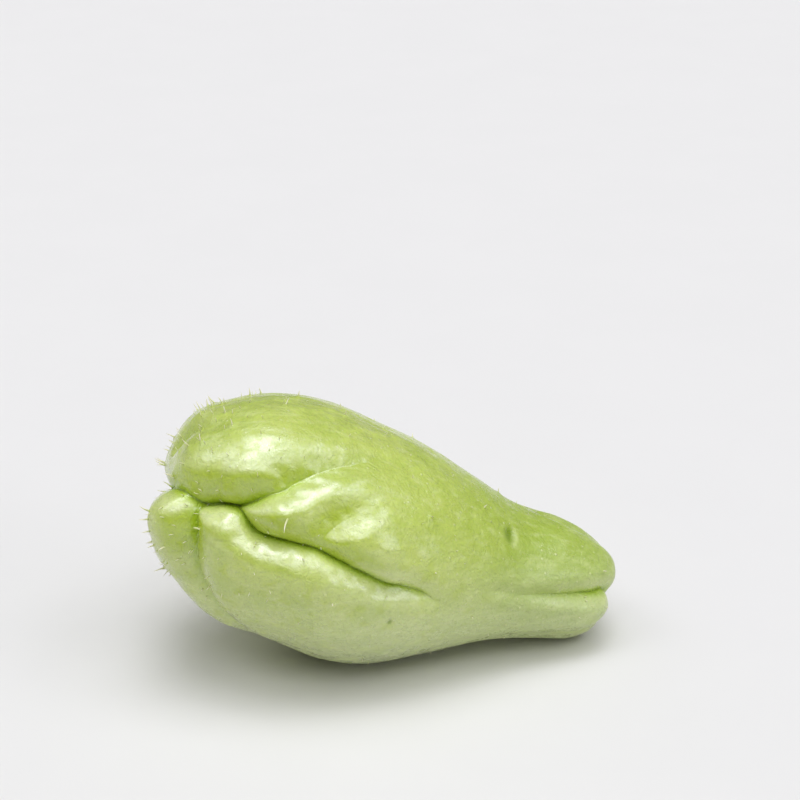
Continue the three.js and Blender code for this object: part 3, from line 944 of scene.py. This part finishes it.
def shared_group(name, make):
    """A node group by name, made the first time it is asked for."""
    return bpy.data.node_groups.get(name) or make()


def new_piece(name, points, faces, material, masks):
    """A smooth mesh object at the origin, with one number per point for each mask."""
    mesh = bpy.data.meshes.new(name)
    mesh.from_pydata(points.tolist(), [], faces)
    mesh.polygons.foreach_set("use_smooth", [True] * len(mesh.polygons))
    for label, values in masks.items():
        layer = mesh.attributes.new(label, "FLOAT", "POINT")
        layer.data.foreach_set("value", np.clip(values, 0, 1).astype(np.float32))
    mesh.materials.append(material)
    mesh.update()
    piece = bpy.data.objects.new(name, mesh)
    bpy.context.scene.collection.objects.link(piece)
    return piece


def scar_masks(points, masks):
    """Depth of the marks on the skin. Adds their dark middles, partly painted shade, and their pale rims, a
    painted highlight, to the masks.
    """
    depth, dark, rim = (np.zeros(len(points)) for _ in range(3))
    for x, degrees, length, width, sunk in SCARS:
        away = points - skin_points(x, degrees)[0]
        along = away[:, 0] / length
        across = np.linalg.norm(away[:, 1:], axis=1) / width
        r = np.sqrt(along**2 + across**2)
        depth += sunk * np.exp(-SCAR_FALL * r**2)
        # Darker towards the blossom end: the mark's own colour plus painted shade on that wall
        darkness = np.clip(SCAR_DARK - SCAR_DARK_LESS * along, 0, SCAR_DARKEST)
        dark = np.maximum(dark, darkness * np.exp(-(r**4)))
        # Pale rim towards the stem: a painted highlight
        ring = np.exp(-(((r - 1) / SCAR_RIM_WIDTH) ** 2))
        rim = np.maximum(rim, np.clip(along, 0, SCAR_RIM) * ring)
    masks["scar_and_shade"] = dark
    masks["scar_highlight_rim"] = rim
    return depth


def skin_relief(points, masks, settings):
    """How far the fine skin lies under the smooth one: waves, ripples and puckers near the folds."""
    waves = between((noise_at(points, *SMALL_WAVES), noise_at(points, *WAVES)), SMALL_WAVES_SHARE)
    in_fold = np.clip(masks["fold"] * FOLD_NEARNESS, 0, 1)
    ripples = noise_at(points, *RIPPLES) * between(RIPPLE_GAIN, in_fold)
    puckers = noise_at(points, *PUCKERS) * between(PUCKER_GAIN, in_fold)
    return (waves * settings.wave_height + (ripples + puckers) * settings.ripple_height) / MM


def spine_feet(points, rows):
    """Height of the small bumps of skin that the spines stand on."""
    feet = np.zeros(len(points))
    for _, _, smooth in rows:
        d2 = ((points - smooth) ** 2).sum(axis=1)
        feet = np.maximum(feet, np.exp(-d2 / FOOT_RADIUS**2))
    return feet * FOOT_HEIGHT


def fruit_lift(points):
    """Height that puts the lying fruit's flat spot on the floor."""
    return -points[:, 2].min() - FLATTENED


class CHAYOTE_OT_add_skin(Operator):
    """Adds the fine skin in place of the plain solid"""

    bl_idname = "chayote.add_skin"
    bl_label = "Add Skin"

    def execute(self, context):
        settings = context.scene.chayote_skin
        ball, quads = ball_grid(FACETS_ALONG, FACETS_AROUND)
        outline = np.arccos(np.clip(-ball[:, 0], -1, 1)) / math.pi
        smooth = crowd(body_points(outline, np.arctan2(ball[:, 2], -ball[:, 1])))
        skin, masks = skin_over(smooth)
        lift = fruit_lift(laid(skin))
        context.scene["chayote_lift"] = lift
        outward = outward_at(smooth)
        sunk = scar_masks(smooth, masks) + skin_relief(smooth, masks, settings)
        sunk -= spine_feet(smooth, all_spines(lift))
        skin -= outward * sunk[:, None]
        lying = laid(skin)
        lying[:, 2] = np.maximum(lying[:, 2] + lift, 0)
        lying = np.clip(lying * MM, CAD_LOW, CAD_HIGH)
        material = skin_material(
            settings, shared_group("Mottle", mottle_group), shared_group("Dots", dots_group),
        )
        piece = new_piece("chayote_skin", lying, quads.tolist(), material, masks)
        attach(piece, "root")
        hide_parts(NODE)
        return {"FINISHED"}


def spine_mesh(rows, radius, sides, rings, bend):
    """Tapered, slightly bent cones, each closed at its root and its tip. Returns points, faces and
    how far each point is toward the tip."""
    points, faces, toward_tip = [], [], []
    turns = 2 * math.pi * np.arange(sides) / sides
    for number, (root, tip, _) in enumerate(rows):
        length = np.linalg.norm(tip - root)
        direction = (tip - root) / length
        side = np.cross(direction, AXIS)
        side /= np.linalg.norm(side)
        other = np.cross(direction, side)
        swing = math.cos(number * BEND_TURN) * side + math.sin(number * BEND_TURN) * other
        circle = [math.cos(turn) * side + math.sin(turn) * other for turn in turns]
        start = root - direction * SPINE_ROOT
        first = len(points)
        for ring in range(rings):
            share = ring / rings
            middle = start + (tip - start) * share + swing * bend * length * math.sin(math.pi * share)
            width = radius * (1 - share) ** SPINE_TAPER + SPINE_BLUNT
            points.extend(middle + width * out for out in circle)
            toward_tip.extend([min(1.0, share * SPINE_PALING)] * sides)
        points.append(tip)
        toward_tip.append(1.0)
        last = first + rings * sides
        for k in range(sides):
            beside = (k + 1) % sides
            for low in range(first, last - sides, sides):
                faces.append((low + k, low + beside, low + sides + beside, low + sides + k))
            faces.append((last - sides + k, last - sides + beside, last))
        faces.append(tuple(range(first + sides - 1, first - 1, -1)))
    return np.array(points), faces, np.array(toward_tip)


class CHAYOTE_OT_add_spines(Operator):
    """Adds the spines and the short hairs"""

    bl_idname = "chayote.add_spines"
    bl_label = "Add Spines"

    def execute(self, context):
        settings = context.scene.chayote_spines
        lift = context.scene["chayote_lift"]
        spines = all_spines(lift)
        hairs = spine_rows(spine_starts(HAIR_PATCHES, HAIR_SEED), lift, HAIR_CLEARANCE)
        material = spine_material(settings, shared_group("Mottle", mottle_group))
        looks = (
            ("chayote_spines", spines, settings.spine_radius, settings.sides, settings.rings, SPINE_BEND),
            ("chayote_hairs", hairs, settings.hair_radius, HAIR_SIDES, HAIR_RINGS, HAIR_BEND),
        )
        for name, rows, radius, sides, rings, bend in looks:
            points, faces, toward_tip = spine_mesh(rows, radius / MM, sides, rings, bend)
            points = np.clip(points * MM, CAD_LOW, CAD_HIGH)
            piece = new_piece(name, points, faces, material, {"toward_tip": toward_tip})
            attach(piece, "root")
        return {"FINISHED"}


def direction_from(azimuth, elevation):
    """Unit vector to a place round the fruit: azimuth 0 is the front, and it grows to the right."""
    return Vector((
        math.sin(azimuth) * math.cos(elevation),
        -math.cos(azimuth) * math.cos(elevation),
        math.sin(elevation),
    ))


def add_light(name, azimuth, elevation, width, strength):
    """A soft light from far away, which lights the fruit and the floor evenly."""
    light = bpy.data.lights.new(name, "SUN")
    light.angle = math.radians(width)
    light.energy = strength
    light.color = COOL_WHITE
    lamp = bpy.data.objects.new(name, light)
    toward = direction_from(math.radians(azimuth), math.radians(elevation))
    lamp.location = toward
    lamp.rotation_mode = "QUATERNION"
    lamp.rotation_quaternion = (-toward).to_track_quat("-Z", "Y")
    bpy.context.scene.collection.objects.link(lamp)


class CHAYOTE_OT_add_stage(Operator):
    """Adds the floor, the lights, the surround and the camera"""

    bl_idname = "chayote.add_stage"
    bl_label = "Add Stage"

    def execute(self, context):
        scene = context.scene
        settings = scene.chayote_stage
        half = settings.floor_size / 2
        corners = np.array([(-half, -half, 0), (half, -half, 0), (half, half, 0), (-half, half, 0)])
        material = floor_material(settings, shared_group("Mottle", mottle_group))
        floor = new_piece("pale_floor", corners, [(0, 1, 2, 3)], material, {})
        floor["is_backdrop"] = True

        for name, (azimuth, elevation, width, strength) in LIGHTS.items():
            add_light(name, azimuth, elevation, width, strength * settings.light)

        world = bpy.data.worlds.new("pale_surround")
        world.use_nodes = True
        background = world.node_tree.nodes["Background"]
        background.inputs["Color"].default_value = (1, 1, 1, 1)
        background.inputs["Strength"].default_value = settings.surround
        scene.world = world
        scene.view_settings.view_transform = "Standard"

        camera = bpy.data.cameras.new("camera")
        camera.lens = settings.lens
        camera.sensor_width = 36
        camera.clip_start = 0.01
        eye = bpy.data.objects.new("camera", camera)
        back = direction_from(settings.azimuth, settings.elevation)
        right = Vector((math.cos(settings.azimuth), math.sin(settings.azimuth), 0))
        turned = Matrix((right, back.cross(right), back)).transposed().to_4x4()
        eye.matrix_world = Matrix.Translation(CAMERA_AIM + back * settings.distance) @ turned
        scene.collection.objects.link(eye)
        scene.camera = eye
        return {"FINISHED"}


class CHAYOTE_PT_panel(Panel):
    """Lists the steps and their settings"""

    bl_idname = "CHAYOTE_PT_panel"
    bl_label = "Chayote"
    bl_space_type = "VIEW_3D"
    bl_region_type = "UI"
    bl_category = "Chayote"

    def draw(self, context):
        scene = context.scene
        steps = (
            (CHAYOTE_OT_add_stage, scene.chayote_stage),
            (CHAYOTE_OT_add_skin, scene.chayote_skin),
            (CHAYOTE_OT_add_spines, scene.chayote_spines),
        )
        for operator, settings in steps:
            box = self.layout.box()
            box.operator(operator.bl_idname)
            for name in settings.__annotations__:
                box.prop(settings, name)


CLASSES = (
    ChayoteSkinSettings,
    ChayoteSpineSettings,
    ChayoteStageSettings,
    CHAYOTE_OT_add_stage,
    CHAYOTE_OT_add_skin,
    CHAYOTE_OT_add_spines,
    CHAYOTE_PT_panel,
)


def register():
    for cls in CLASSES:
        bpy.utils.register_class(cls)
    bpy.types.Scene.chayote_skin = PointerProperty(type=ChayoteSkinSettings)
    bpy.types.Scene.chayote_spines = PointerProperty(type=ChayoteSpineSettings)
    bpy.types.Scene.chayote_stage = PointerProperty(type=ChayoteStageSettings)


def unregister():
    del bpy.types.Scene.chayote_stage
    del bpy.types.Scene.chayote_spines
    del bpy.types.Scene.chayote_skin
    for cls in reversed(CLASSES):
        bpy.utils.unregister_class(cls)


def write_sizes():
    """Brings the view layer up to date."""
    bpy.context.view_layer.update()


def main():
    register()
    bpy.ops.chayote.add_stage()
    bpy.ops.chayote.add_skin()
    bpy.ops.chayote.add_spines()
    write_sizes()


if __name__ == "__main__":
    main()
